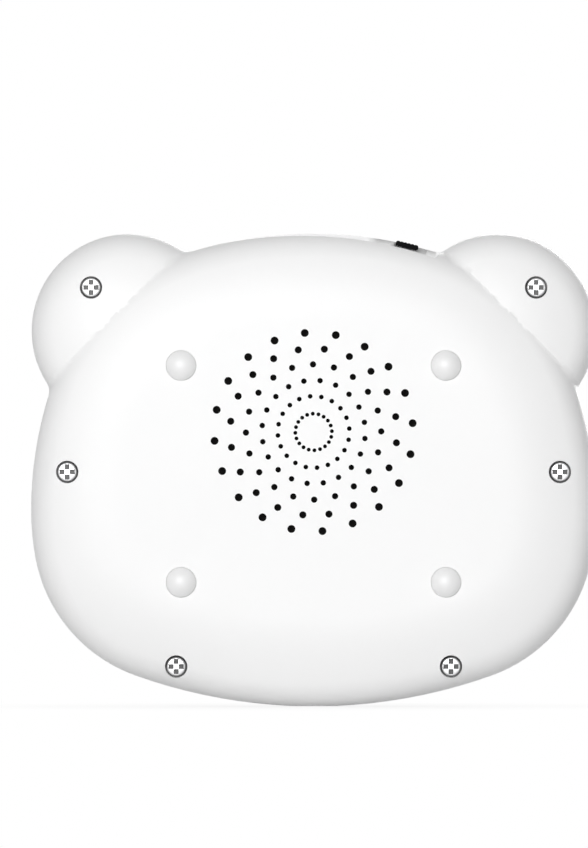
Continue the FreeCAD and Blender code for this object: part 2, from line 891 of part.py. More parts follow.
def speaker_surround():
    """Roll of thin rubber, in straight slopes, from the cone's rim to the flange."""
    rim_y = cone_rim_y() - surround_thickness
    mouth = flange_radius - flange_width
    lip = cone_radius - cone_rim
    roll = (mouth - cone_radius) / 2
    front = [
        (lip, rim_y), (cone_radius, rim_y), (cone_radius + roll / 2, rim_y + roll * 0.8),
        (mouth - roll / 2, rim_y + roll * 0.8), (mouth - surround_thickness, rim_y), (mouth, rim_y),
    ]
    back = [(radius, y + surround_thickness) for radius, y in reversed(front)]
    return turned(0, grille_z, front + back)


def speaker_spider():
    """Corrugated disc that centres the coil, glued to the basket's floor."""
    inner = coil_radius + coil_wall / 2
    outer = basket_floor_radius - sheet
    floor_y = flange_y + basket_depth - sheet
    waves = 6
    step = (outer - inner) / waves
    front = []
    for number in range(waves + 1):
        lift = spider_wave if number % 2 else 2 * spider_wave
        if number == waves:
            lift = 0
        front.append((inner + step * number, floor_y - spider_thickness - lift))
    back = [(radius, y + spider_thickness) for radius, y in reversed(front)]
    return turned(0, grille_z, front + back)


def speaker_terminals():
    """Tag board on the basket's rim, with its two soldering lugs."""
    low_z = grille_z - flange_radius + flange_width
    high_y = flange_y + sheet + terminal_thickness
    tag = centred_block(0, terminal_width, flange_y + sheet, high_y, low_z, terminal_height)
    tag = tag.common(tube(0, grille_z, flange_radius, flange_radius - flange_width + 2 * sheet,
                          flange_y + sheet, high_y))
    lugs = []
    for side in (-1, 1):
        lug = centred_block(
            side * terminal_width / 4, lug_width, high_y, high_y + lug_length,
            grille_z - flange_radius + flange_width / 2, lug_thickness,
        )
        lugs.append(lug)
    return fused([tag] + lugs)


def speaker_screws():
    """Screws with washers that lap over the flange's edge."""
    screws = []
    seat = flange_y + sheet
    for x, z in speaker_screw_places():
        washer = cylinder(x, z, speaker_washer_radius, seat, seat + speaker_washer_thickness)
        screw = small_screw(0, 0, 0, speaker_screw_length + speaker_washer_thickness)
        screw.rotate(Vector(), Vector(0, 0, 1), 180)
        screw.translate(Vector(x, seat + speaker_washer_thickness, z))
        screws.append(fused([washer, screw]))
    return Part.makeCompound(screws)


def main_board():
    """Board with a wide foot under the face and a neck up to the crown."""
    top_radius = crown_radius - wall - board_edge_gap
    half = board_half_width
    neck = board_neck_half_width
    foot = centred_block(
        0, 2 * half, board_back_y, board_front_y,
        (board_foot_z + board_shoulder_z) / 2, board_shoulder_z - board_foot_z,
    )
    stem = block(-neck, neck, board_back_y, board_front_y, board_foot_z + board_corner, far)
    board = fused([foot, stem])
    crown = cylinder(crown_centre[0], crown_centre[1], top_radius, board_back_y, board_front_y)
    board = board.common(crown).removeSplitter()
    board = board.makeFillet(board_corner, edges_along_y(board))
    holes = []
    for x, z in sided(standoff_places):
        holes.append(cylinder(x, z, small_shank_radius + tongue_gap, board_back_y, board_front_y))
    return board.cut(Part.makeCompound(holes))


def board_screws():
    screws = []
    for x, z in sided(standoff_places):
        screws.append(small_screw(x, z, board_back_y, small_screw_length))
    return Part.makeCompound(screws)


def key_switches():
    housings = []
    for x, z, radius in button_places().values():
        body = centred_block(x, key_housing, board_front_y, key_top_y, z, key_housing)
        bore_end = plunger_top_y - plunger_rise - plunger_depth - key_travel - plunger_spare
        housings.append(body.cut(cylinder(x, z, plunger_radius + plunger_gap, bore_end, far)))
    return Part.makeCompound(housings)


def plunger(x, z):
    return cylinder(x, z, plunger_radius, key_top_y - plunger_depth, plunger_top_y)


def button(x, z, radius):
    """Cap with a bevelled edge, a flange behind the shell's wall and a stem to the key."""
    flange_high_y = face_inner_y - button_flange_gap
    flange_low_y = flange_high_y - button_flange_thickness
    top_y = face_y + button_stand
    cap = button_bar(x, z, radius, 0, flange_high_y, top_y)
    rim = [edge for edge in cap.Edges if edge.BoundBox.YMin > top_y - 0.001]
    cap = cap.makeChamfer(button_edge_chamfer, rim)
    flange = button_bar(x, z, radius, button_flange, flange_low_y, flange_high_y)
    stem = cylinder(x, z, button_stem_radius, plunger_top_y, flange_low_y)
    return fused([cap, flange, stem])


def power_switch_body():
    """Slide switch on the back of the board: an open can with its floor on the board."""
    top = head_height - pocket_depth - pocket_floor - switch_can_gap
    low_y = knob_y() - switch_can_width / 2
    half = switch_can_length / 2
    can = block(-half, half, low_y, board_back_y, top - switch_can_height, top)
    room_half = half - switch_can_sheet
    room = block(
        -room_half, room_half, low_y + switch_can_sheet, board_back_y - switch_can_sheet,
        top - switch_can_height / 2, top - switch_can_sheet,
    )
    slot_half = (lever_length + switch_travel) / 2 + lever_gap
    slot_half_width = lever_width / 2 + lever_gap
    slot = block(
        -slot_half, slot_half, knob_y() - slot_half_width, knob_y() + slot_half_width,
        top - switch_can_height / 2, top + switch_can_sheet,
    )
    can = can.makeFillet(switch_can_sheet, edges_along_y(can))
    return on_crown(can.cut(room).cut(slot), crown_angle(switch_x))


def at_left_stop(shape):
    """Slide a piece made at the pocket's middle to the left end of its travel."""
    slid = shape.copy()
    slid.translate(Vector(-switch_travel / 2, 0, 0))
    return on_crown(slid, crown_angle(switch_x))


def power_switch_slider():
    """Lever that runs in the can and carries the knob."""
    can_top = head_height - pocket_depth - pocket_floor - switch_can_gap
    foot = can_top - switch_can_height / 2 + lever_gap
    half = lever_length / 2
    lever = block(
        -half, half, knob_y() - lever_width / 2, knob_y() + lever_width / 2,
        foot, head_height + knob_foot,
    )
    shoe_half_width = switch_can_width / 2 - switch_can_sheet - lever_gap
    shoe_half = half + lever_gap
    shoe_top = can_top - switch_can_sheet - lever_gap
    shoe = block(
        -shoe_half, shoe_half, knob_y() - shoe_half_width, knob_y() + shoe_half_width,
        max(foot, shoe_top - slider_block_height), shoe_top,
    )
    return at_left_stop(fused([lever, shoe]))


def power_switch_knob():
    """Black cap with grip ribs across its top."""
    half = knob_length / 2
    low_y = knob_y() - knob_width / 2
    high_y = knob_y() + knob_width / 2
    cap = block(-half, half, low_y, high_y, head_height + knob_foot, head_height + knob_top)
    cap = cap.makeFillet(knob_corner, edges_along_y(cap))
    grooves = []
    for number in range(knob_ribs):
        x = (number - (knob_ribs - 1) / 2) * knob_rib_pitch
        grooves.append(Part.makeCylinder(
            knob_groove_width / 2, 2 * knob_width,
            Vector(x, low_y - knob_width / 2, head_height + knob_top
                   + knob_groove_width / 2 - knob_groove_depth),
            along_y,
        ))
    return at_left_stop(cap.cut(Part.makeCompound(grooves)))


def socket_y():
    return board_front_y + socket_body_depth / 2


def headphone_socket():
    """Socket body on the board with a round barrel through the shell."""
    mouth = head_height - socket_sink
    body_top = head_height - wall - socket_body_sink
    body = centred_block(
        0, socket_body_width, board_front_y, board_front_y + socket_body_depth,
        body_top - socket_body_length / 2, socket_body_length,
    )
    upright = Vector(0, 0, 1)
    barrel = Part.makeCylinder(
        socket_barrel_radius, mouth - body_top, Vector(0, socket_y(), body_top), upright
    )
    bore = Part.makeCylinder(
        plug_bore_radius, plug_bore_length,
        Vector(0, socket_y(), mouth - plug_bore_length), upright,
    )
    return on_crown(fused([body, barrel]).cut(bore), crown_angle(headphone_x))


def charging_outline(spread, low_z, high_z):
    """Flat-sided oval bar up through the crown, for the charging socket."""
    middle_y = board_front_y + charging_height / 2
    end_radius = charging_height / 2 + spread
    centre_x = charging_width / 2 - charging_height / 2
    upright = Vector(0, 0, 1)
    height = high_z - low_z
    ends = [
        Part.makeCylinder(end_radius, height, Vector(side * centre_x, middle_y, low_z), upright)
        for side in (-1, 1)
    ]
    middle = block(
        -centre_x, centre_x, middle_y - end_radius, middle_y + end_radius, low_z, high_z
    )
    return fused([middle] + ends)


def charging_socket():
    high_z = head_height - socket_sink
    low_z = high_z - charging_length
    sleeve = charging_outline(0, low_z, high_z)
    room = charging_outline(-charging_sheet, low_z + charging_sheet, high_z + charging_sheet)
    return sleeve.cut(room)


def charging_tongue():
    """Contact tongue in the middle of the charging socket."""
    low_z = head_height - socket_sink - charging_length + charging_sheet
    middle_y = board_front_y + charging_height / 2
    half = charging_tongue_width / 2
    thick = charging_tongue_thickness / 2
    tongue = block(
        -half, half, middle_y - thick, middle_y + thick, low_z, low_z + charging_tongue_length
    )
    return tongue


def status_light():
    end_y = board_front_y + status_light_height
    return centred_block(
        0, status_light_width, board_front_y, end_y, status_z, status_light_width
    )


def status_lens():
    """Clear rod that carries the light to the face, with a collar behind the wall."""
    start_y = board_front_y + status_light_height + status_light_gap
    return turned(0, status_z, (
        (0, start_y), (status_lens_radius, start_y),
        (status_lens_radius, face_inner_y - status_lens_flange),
        (status_lens_radius + status_lens_flange, face_inner_y - status_lens_flange),
        (status_lens_radius + status_lens_flange, face_inner_y),
        (status_lens_radius, face_inner_y), (status_lens_radius, face_y + status_lens_proud),
        (0, face_y + status_lens_proud),
    ))


def board_chip(x, z, width, height):
    return centred_block(x, width, board_back_y - chip_height, board_back_y, z, height)


def capacitors():
    cans = []
    for x, z in capacitor_places:
        can = cylinder(x, z, capacitor_radius, board_back_y - capacitor_height, board_back_y)
        cans.append(can)
    return Part.makeCompound(cans)


def lead_plug(x):
    low_y = board_back_y - plug_depth
    return centred_block(x, plug_width, low_y, board_back_y, plug_z, plug_length)


def battery_cell():
    """Pouch cell with a folded seal along its top edge."""
    low_y = back_inner_y + pad_thickness
    body = centred_block(0, cell_width, low_y, low_y + cell_thickness, cell_z, cell_height)
    return body.makeFillet(cell_corner, edges_along_y(body))


def battery_pad():
    low_y = back_inner_y
    side = 2 * cell_corner
    return centred_block(
        0, cell_width - side, low_y, low_y + pad_thickness, cell_z + side / 2, cell_height - side
    )


parts = {
    "rear_shell": rear_shell(),
    "front_shell": front_shell(),
    "case_screws": case_screws(),
    "rear_feet": rear_feet(),
    "grille_cloth": grille_cloth(),
    "speaker_gasket": speaker_gasket(),
    "speaker_frame": speaker_frame(),
    "speaker_top_plate": speaker_top_plate(),
    "speaker_magnet": speaker_magnet(),
    "speaker_yoke": speaker_yoke(),
    "speaker_spider": speaker_spider(),
    "speaker_surround": speaker_surround(),
    "speaker_cone": speaker_cone(),
    "speaker_dust_cap": speaker_dust_cap(),
    "voice_coil": voice_coil(),
    "speaker_terminals": speaker_terminals(),
    "speaker_screws": speaker_screws(),
    "battery_cell": battery_cell(),
    "battery_pad": battery_pad(),
    "cell_plug": lead_plug(cell_plug_x),
    "speaker_plug": lead_plug(speaker_plug_x),
    "main_board": main_board(),
    "board_screws": board_screws(),
    "audio_chip": board_chip(audio_chip_x, audio_chip_z, audio_chip_size, audio_chip_size),
    "memory_chip": board_chip(
        memory_chip_x, memory_chip_z, memory_chip_width, memory_chip_height
    ),
    "capacitors": capacitors(),
    "key_switches": key_switches(),
    "power_switch_body": power_switch_body(),
    "power_switch_slider": power_switch_slider(),
    "power_switch_knob": power_switch_knob(),
    "headphone_socket": headphone_socket(),
    "charging_socket": charging_socket(),
    "charging_tongue": charging_tongue(),
    "status_light": status_light(),
    "status_lens": status_lens(),
}
for name, (x, z, radius) in button_places().items():
    parts[name + "_button"] = button(x, z, radius)
    parts[name + "_plunger"] = plunger(x, z)

os.makedirs("parts", exist_ok=True)
for name, shape in parts.items():
    shape.exportStep("parts/" + name + ".step")
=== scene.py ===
import math

import bmesh
import bpy
from mathutils import Matrix, Vector


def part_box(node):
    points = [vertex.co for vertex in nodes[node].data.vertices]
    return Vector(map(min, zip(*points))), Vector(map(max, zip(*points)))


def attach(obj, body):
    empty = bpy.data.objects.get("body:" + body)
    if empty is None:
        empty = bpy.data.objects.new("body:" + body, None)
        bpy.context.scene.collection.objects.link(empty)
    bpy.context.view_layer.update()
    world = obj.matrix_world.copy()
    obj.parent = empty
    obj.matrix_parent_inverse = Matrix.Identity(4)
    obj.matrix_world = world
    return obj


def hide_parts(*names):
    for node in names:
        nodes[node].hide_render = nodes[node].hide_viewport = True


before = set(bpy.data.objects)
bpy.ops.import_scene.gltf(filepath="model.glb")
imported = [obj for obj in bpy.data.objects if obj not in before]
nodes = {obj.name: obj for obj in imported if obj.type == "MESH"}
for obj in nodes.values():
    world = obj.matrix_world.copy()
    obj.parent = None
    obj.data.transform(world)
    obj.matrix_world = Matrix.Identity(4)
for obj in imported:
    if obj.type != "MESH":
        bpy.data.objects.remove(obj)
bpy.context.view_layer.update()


# Case shells: two halves in white ABS, injection moulded with a fine satin skin.
# The front one carries a tongue that drops into the rear one's groove, and six screws pull
# them together. Pins in the mould leave the speaker's spiral of holes in the rear one.
class Flow:
    """A socket in a node tree, on which sums work as in plain arithmetic."""

    def __init__(self, tree, socket=None):
        self.tree = tree
        self.socket = socket

    def node(self, kind, settings=None, sockets=None, output=0):
        """Add a node, set it up, feed its sockets, and give one of its outputs."""
        made = self.tree.nodes.new(kind)
        for name, value in (settings or {}).items():
            if name == "stops":
                for stop, (place, level) in zip(made.color_ramp.elements, value):
                    stop.position = place
                    stop.color = (level, level, level, 1)
            else:
                setattr(made, name, value)
        for name, value in (sockets or {}).items():
            if isinstance(value, Flow):
                self.tree.links.new(value.socket, made.inputs[name])
            else:
                made.inputs[name].default_value = value
        return Flow(self.tree, made.outputs[output])

    def sum(self, operation, first, second):
        return self.node("ShaderNodeMath", {"operation": operation}, {0: first, 1: second})

    def __add__(self, other):
        return self.sum("ADD", self, other)

    def __radd__(self, other):
        return self.sum("ADD", other, self)

    def __sub__(self, other):
        return self.sum("SUBTRACT", self, other)

    def __rsub__(self, other):
        return self.sum("SUBTRACT", other, self)

    def __mul__(self, other):
        return self.sum("MULTIPLY", self, other)

    def __rmul__(self, other):
        return self.sum("MULTIPLY", other, self)


def surface(name, roughness=0.5, metallic=0.0, coat=0.0, specular=0.5):
    """New material with its shader's constants set, its tree, and its Object coordinates."""
    material = bpy.data.materials.new(name)
    material.use_nodes = True
    tree = material.node_tree
    shader = tree.nodes["Principled BSDF"]
    shader.inputs["Roughness"].default_value = roughness
    shader.inputs["Metallic"].default_value = metallic
    shader.inputs["Coat Weight"].default_value = coat
    shader.inputs["Specular IOR Level"].default_value = specular
    flow = Flow(tree)
    place = flow.node("ShaderNodeTexCoord", output="Object")
    return material, shader, flow, place


def feed(shader, name, value):
    shader.id_data.links.new(value.socket, shader.inputs[name])


def moulded(name, colour, roughness, grain_mm=0.35, grain_depth_mm=0.004, tint=0.02, coat=0.0,
            specular=0.5):
    """Moulded plastic: fine grain from the tool, cloudy gloss, and slight handling wear."""
    material, shader, flow, place = surface(name, roughness, coat=coat, specular=specular)
    grain = flow.node("ShaderNodeTexNoise", {}, {
        "Vector": place, "Scale": 1000 / grain_mm, "Detail": 2.0, "Roughness": 0.5,
    })
    cloud = flow.node("ShaderNodeTexNoise", {}, {
        "Vector": place, "Scale": 1000 / 28, "Detail": 3.0, "Roughness": 0.55,
    })
    darker = tuple(level * (1 - tint) for level in colour)
    blend = flow.node(
        "ShaderNodeMix", {"data_type": "RGBA"},
        {0: cloud, 6: (*darker, 1), 7: (*colour, 1)}, 2,
    )
    feed(shader, "Base Color", blend)
    feed(shader, "Roughness", roughness - 0.05 + 0.1 * cloud)
    relief = flow.node("ShaderNodeBump", {}, {
        "Strength": 0.6, "Distance": grain_depth_mm / 1000, "Height": grain,
    }, "Normal")
    feed(shader, "Normal", relief)
    return material


def linked(name, mesh):
    piece = bpy.data.objects.new(name, mesh)
    bpy.context.scene.collection.objects.link(piece)
    return piece


def finished_mesh(piece):
    """Plain mesh of a piece with its modifiers worked in."""
    depsgraph = bpy.context.evaluated_depsgraph_get()
    mesh = bpy.data.meshes.new_from_object(piece.evaluated_get(depsgraph))
    piece.modifiers.clear()
    piece.data = mesh
    return mesh


def rounded(piece, angle=35):
    """Smooth shading that stays flat on flats and breaks at sharp edges."""
    mesh = piece.data
    mesh.polygons.foreach_set("use_smooth", [True] * len(mesh.polygons))
    mesh.set_sharp_from_angle(angle=math.radians(angle))
    weighting = piece.modifiers.new("even shading", "WEIGHTED_NORMAL")
    weighting.keep_sharp = True
    weighting.weight = 80
    finished_mesh(piece)


def joined_copy(node, name):
    """Copy of a CAD node's mesh, its triangles joined into one skin."""
    mesh = nodes[node].data.copy()
    mesh.transform(nodes[node].matrix_world)
    work = bmesh.new()
    work.from_mesh(mesh)
    bmesh.ops.remove_doubles(work, verts=work.verts, dist=1e-6)
    work.to_mesh(mesh)
    work.free()
    mesh.materials.clear()
    return linked(name, mesh)


def fitted(piece, material, body, node):
    """Dress a finished piece and put it in the place of a CAD node."""
    piece.data.materials.clear()
    piece.data.materials.append(material)
    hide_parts(node)
    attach(piece, body)


grille_height = 0.06835
grille_rings = 6
holes_per_ring = 20
inner_ring = 0.00456
second_ring = 0.00893
ring_pitch = 0.00396
smallest_hole = 0.000492
hole_growth = 0.0000995
first_turn = math.radians(2.6)
turn_lean = math.radians(1.7)
turn_curl = math.radians(1.2)
hole_depth = 0.008
pin_inset = 0.002
pin_sides = 28


def spiral_drill():
    """Node tree that sets round pins in rings, each ring turned further than the last."""
    tree = bpy.data.node_groups.new("spiral drill", "GeometryNodeTree")
    sizes = (
        ("Inner ring", inner_ring), ("Second ring", second_ring), ("Ring pitch", ring_pitch),
        ("Smallest hole", smallest_hole), ("Hole growth", hole_growth),
    )
    for name, value in sizes:
        socket = tree.interface.new_socket(name, in_out="INPUT", socket_type="NodeSocketFloat")
        socket.default_value = value
    tree.interface.new_socket("Material", in_out="INPUT", socket_type="NodeSocketMaterial")
    tree.interface.new_socket("Geometry", in_out="OUTPUT", socket_type="NodeSocketGeometry")
    given = tree.nodes.new("NodeGroupInput")
    flow = Flow(tree)

    def size(name):
        return Flow(tree, given.outputs[name])

    count = grille_rings * holes_per_ring
    line = flow.node("GeometryNodeMeshLine", {"mode": "OFFSET"}, {"Count": count})
    index = flow.node("GeometryNodeInputIndex")
    ring = flow.node("ShaderNodeMath", {"operation": "FLOOR"}, {0: index * (1 / holes_per_ring)})
    number = index - ring * holes_per_ring
    is_outer = flow.node("ShaderNodeMath", {"operation": "MINIMUM"}, {0: ring, 1: 1.0})
    radius = size("Inner ring") + is_outer * (
        size("Second ring") - size("Inner ring") + (ring - 1) * size("Ring pitch")
    )
    turn = first_turn + turn_lean * ring + turn_curl * ring * ring
    turn = turn + number * (2 * math.pi / holes_per_ring)
    across = radius * flow.node("ShaderNodeMath", {"operation": "COSINE"}, {0: turn})
    up = radius * flow.node("ShaderNodeMath", {"operation": "SINE"}, {0: turn}) + grille_height
    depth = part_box("rear_shell")[0][1] + pin_inset
    spot = flow.node("ShaderNodeCombineXYZ", {}, {"X": across, "Y": depth, "Z": up})
    spread = flow.node("GeometryNodeSetPosition", {}, {"Geometry": line, "Position": spot})
    pin = flow.node("GeometryNodeMeshCylinder", {}, {
        "Vertices": pin_sides, "Radius": 1.0, "Depth": hole_depth,
    })
    hole = size("Smallest hole") + ring * size("Hole growth")
    scale = flow.node("ShaderNodeCombineXYZ", {}, {"X": hole, "Y": hole, "Z": 1.0})
    pins = flow.node("GeometryNodeInstanceOnPoints", {}, {
        "Points": spread, "Instance": pin, "Rotation": (math.pi / 2, 0, 0), "Scale": scale,
    })
    real = flow.node("GeometryNodeRealizeInstances", {}, {"Geometry": pins})
    dressed = flow.node("GeometryNodeSetMaterial", {}, {
        "Geometry": real, "Material": size("Material"),
    })
    out = tree.nodes.new("NodeGroupOutput")
    tree.links.new(dressed.socket, out.inputs["Geometry"])
    return tree


def socket_key(tree, name):
    return next(item.identifier for item in tree.interface.items_tree if item.name == name)


shell_white = moulded("shell white", (0.90, 0.90, 0.90), 0.42, tint=0.008)
drill_tree = spiral_drill()
drill = linked("grille_drill", bpy.data.meshes.new("grille_drill"))
drilling = drill.modifiers.new("spiral", "NODES")
drilling.node_group = drill_tree
drilling[socket_key(drill_tree, "Material")] = shell_white
finished_mesh(drill)

head_height = 0.118
head_half_width = 0.0705
widest_height = 0.0488
crown_radius = 0.103
temple_radius = 0.052
upper_cheek_radius = 0.097
lower_cheek_radius = 0.0646
jaw_radius = 0.0385
chin_radius = 0.132
chin_flat_cut = 0.00012
ear_radius = 0.0242
ear_centre = Vector((0.0462, 0.0936))
ear_drop = 0.0035
rim_radius = 0.009
shoulder_radius = 0.046
shoulder_angle = math.radians(20)
rim_reach = rim_radius * (1 - math.sin(shoulder_angle))
edge_reach = rim_radius + (shoulder_radius - rim_radius) * math.sin(shoulder_angle)
edge_drop = shoulder_radius - (shoulder_radius - rim_radius) * math.cos(shoulder_angle)
form_error = 0.00013
form_agreement = math.cos(math.radians(20))
arc_end_slack = 0.001
case_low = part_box("rear_shell")[0][1]
case_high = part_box("front_shell")[1][1]


def touching_centre(first, first_radius, second, second_radius, radius):
    """Centre of an arc that touches two larger ones from inside, on the right side."""
    from_first = first_radius - radius
    from_second = second_radius - radius
    across = second - first
    span = across.length
    along = (from_first ** 2 - from_second ** 2 + span ** 2) / (2 * span)
    aside = math.sqrt(from_first ** 2 - along ** 2)
    foot = first + across * (along / span)
    sideways = Vector((-across.y, across.x)) * (aside / span)
    return max(foot + sideways, foot - sideways, key=lambda spot: spot.x)


def direction(start, end):
    return math.atan2(end.y - start.y, end.x - start.x)


def outline_arcs():
    """Arcs of the head's right half from crown to chin: centre, radius, start and end."""
    crown = Vector((0, head_height - crown_radius))
    upper_cheek = Vector((head_half_width - upper_cheek_radius, widest_height))
    lower_cheek = Vector((head_half_width - lower_cheek_radius, widest_height))
    chin = Vector((0, chin_radius - chin_flat_cut))
    temple = touching_centre(
        crown, crown_radius, upper_cheek, upper_cheek_radius, temple_radius
    )
    jaw = touching_centre(lower_cheek, lower_cheek_radius, chin, chin_radius, jaw_radius)
    turns = (
        math.pi / 2, direction(crown, temple), direction(upper_cheek, temple), 0.0,
        direction(lower_cheek, jaw), direction(chin, jaw), -math.pi / 2,
    )
    shapes = (
        (crown, crown_radius), (temple, temple_radius), (upper_cheek, upper_cheek_radius),
        (lower_cheek, lower_cheek_radius), (jaw, jaw_radius), (chin, chin_radius),
    )
    return [
        (centre, radius, start, end)
        for (centre, radius), start, end in zip(shapes, turns, turns[1:])
    ]


def edge_normal(inset, outwards, y, drop):
    """Normal of the rounded edge at a place on it, or nothing where the place lies off it."""
    way = 1 if y < (case_low + case_high) / 2 else -1
    flat_y = case_low + drop if way == 1 else case_high - drop
    depth = (y - flat_y) * way
    if depth > edge_drop:
        lean = Vector((1, 0))
        error = abs(inset)
    elif inset > edge_reach:
        lean = Vector((0, 1))
        error = abs(depth)
    elif inset > rim_reach:
        lean = Vector((edge_reach - inset, shoulder_radius - depth))
        error = abs(lean.length - shoulder_radius)
    else:
        lean = Vector((rim_radius - inset, edge_drop - depth))
        error = abs(lean.length - rim_radius)
    if error > form_error:
        return None
    lean.normalize()
    return Vector((outwards.x * lean.x, -way * lean.y, outwards.y * lean.x))


def outside_normal(spot, arcs):
    """Normal of the moulded outside at a place on it: the head's, or else an ear's."""
    place = Vector((abs(spot.x), spot.z))
    tries = []
    for centre, radius, start, end in arcs:
        away = place - centre
        if end - arc_end_slack <= math.atan2(away.y, away.x) <= start + arc_end_slack:
            tries.append((radius - away.length, away.normalized(), 0.0))
    tries = [min(tries, key=lambda found: found[0])] if tries else []
    away = place - ear_centre
    tries.append((ear_radius - away.length, away.normalized(), ear_drop))
    for inset, outwards, drop in tries:
        normal = edge_normal(inset, outwards, spot.y, drop)
        if normal:
            normal.x = math.copysign(normal.x, normal.x * spot.x)
            return normal
    return None


def shaded_by_form(shell):
    """Shade the outside by the form that the mould was cut to, not by its triangles."""
    mesh = shell.data
    arcs = outline_arcs()
    normals = [corner.vector.copy() for corner in mesh.corner_normals]
    outside = [outside_normal(corner.co, arcs) for corner in mesh.vertices]
    for face in mesh.polygons:
        for corner in face.loop_indices:
            vertex = mesh.loops[corner].vertex_index
            normal = outside[vertex] or mesh.vertices[vertex].normal.copy()
            if normal.dot(face.normal) > form_agreement:
                normals[corner] = normal
    mesh.normals_split_custom_set(normals)


rear_shell = joined_copy("rear_shell", "rear_case_shell")
cutting = rear_shell.modifiers.new("grille holes", "BOOLEAN")
cutting.operation = "DIFFERENCE"
cutting.solver = "EXACT"
cutting.object = drill
finished_mesh(rear_shell)
bpy.data.objects.remove(drill)
rounded(rear_shell)
shaded_by_form(rear_shell)
fitted(rear_shell, shell_white, "case", "rear_shell")

front_shell = joined_copy("front_shell", "front_case_shell")
rounded(front_shell)
shaded_by_form(front_shell)
fitted(front_shell, shell_white, "case", "front_shell")


# Case screws: six M3 pan-head screws of zinc-plated steel, cold headed with a cross recess.
# They sit sunk in round seats and draw the front shell's bosses down on the rear shell.
# Each recess has four deep wings round a shallower middle that still catches the light.
# The recess wings and the heads' rounded sides are painted dark, as painted shade.
def turned(name, outline, steps, stretch=(1.0, 1.0)):
    """Closed mesh turned about the line along Y, from points of radius and y on and off it."""
    work = bmesh.new()
    rings = []
    for radius, y in outline:
        if radius == 0:
            rings.append([work.verts.new((0, y, 0))])
            continue
        ring = []
        for step in range(steps):
            turn = 2 * math.pi * step / steps
            ring.append(work.verts.new((
                radius * stretch[0] * math.cos(turn), y, radius * stretch[1] * math.sin(turn)
            )))
        rings.append(ring)
    for low, high in zip(rings, rings[1:]):
        for step in range(steps):
            after = (step + 1) % steps
            if len(low) == 1:
                work.faces.new((low[0], high[after], high[step]))
            elif len(high) == 1:
                work.faces.new((low[step], low[after], high[0]))
            else:
                work.faces.new((low[step], low[after], high[after], high[step]))
    bmesh.ops.recalc_face_normals(work, faces=work.faces)
    mesh = bpy.data.meshes.new(name)
    work.to_mesh(mesh)
    work.free()
    return linked(name, mesh)


def bend(centre_radius, centre_y, radius, start, end, count=6):
    """Points of an arc in an outline, with angles in degrees from outwards towards +Y."""
    points = []
    for step in range(count + 1):
        turn = math.radians(start + (end - start) * step / count)
        points.append((
            centre_radius + radius * math.cos(turn), centre_y + radius * math.sin(turn)
        ))
    return points


def bars(name, boxes):
    """Cutter made of separate bars, each from its low and high corners."""
    work = bmesh.new()
    for low, high in boxes:
        size = [top - foot for foot, top in zip(low, high)]
        middle = [(top + foot) / 2 for foot, top in zip(low, high)]
        bmesh.ops.create_cube(work, matrix=Matrix.LocRotScale(Vector(middle), None, Vector(size)))
    mesh = bpy.data.meshes.new(name)
    work.to_mesh(mesh)
    work.free()
    return linked(name, mesh)


def carved(piece, cutters):
    for cutter in cutters:
        cut = piece.modifiers.new("cut", "BOOLEAN")
        cut.operation = "DIFFERENCE"
        cut.solver = "EXACT"
        cut.object = cutter
    finished_mesh(piece)
    for cutter in cutters:
        bpy.data.objects.remove(cutter)


def place_tree():
    """Node tree that sets one made piece on every point of a list."""
    tree = bpy.data.node_groups.new("set on points", "GeometryNodeTree")
    tree.interface.new_socket("Points", in_out="INPUT", socket_type="NodeSocketGeometry")
    tree.interface.new_socket("Piece", in_out="INPUT", socket_type="NodeSocketObject")
    tree.interface.new_socket("Material", in_out="INPUT", socket_type="NodeSocketMaterial")
    tree.interface.new_socket("Geometry", in_out="OUTPUT", socket_type="NodeSocketGeometry")
    given = tree.nodes.new("NodeGroupInput")
    flow = Flow(tree)
    piece = flow.node("GeometryNodeObjectInfo", {}, {
        "Object": Flow(tree, given.outputs["Piece"]),
    }, "Geometry")
    copies = flow.node("GeometryNodeInstanceOnPoints", {}, {
        "Points": Flow(tree, given.outputs["Points"]), "Instance": piece,
    })
    real = flow.node("GeometryNodeRealizeInstances", {}, {"Geometry": copies})
    dressed = flow.node("GeometryNodeSetMaterial", {}, {
        "Geometry": real, "Material": Flow(tree, given.outputs["Material"]),
    })
    out = tree.nodes.new("NodeGroupOutput")
    tree.links.new(dressed.socket, out.inputs["Geometry"])
    return tree


def repeated(name, piece, places, material):
    """One mesh that holds a made piece at every place."""
    mesh = bpy.data.meshes.new(name)
    mesh.from_pydata(places, [], [])
    group = linked(name, mesh)
    setting = group.modifiers.new("copies", "NODES")
    setting.node_group = set_on_points
    setting[socket_key(set_on_points, "Piece")] = piece
    setting[socket_key(set_on_points, "Material")] = material
    finished_mesh(group)
    bpy.data.objects.remove(piece)
    return group


def lowest_y(node, x, z, reach):
    """How far back a CAD node comes round one place."""
    return min(
        corner.co.y for corner in nodes[node].data.vertices
        if math.hypot(corner.co.x - x, corner.co.z - z) < reach
    )


def both_sides(places):
    return [(side * x, z) for x, z in places for side in (-1, 1)]


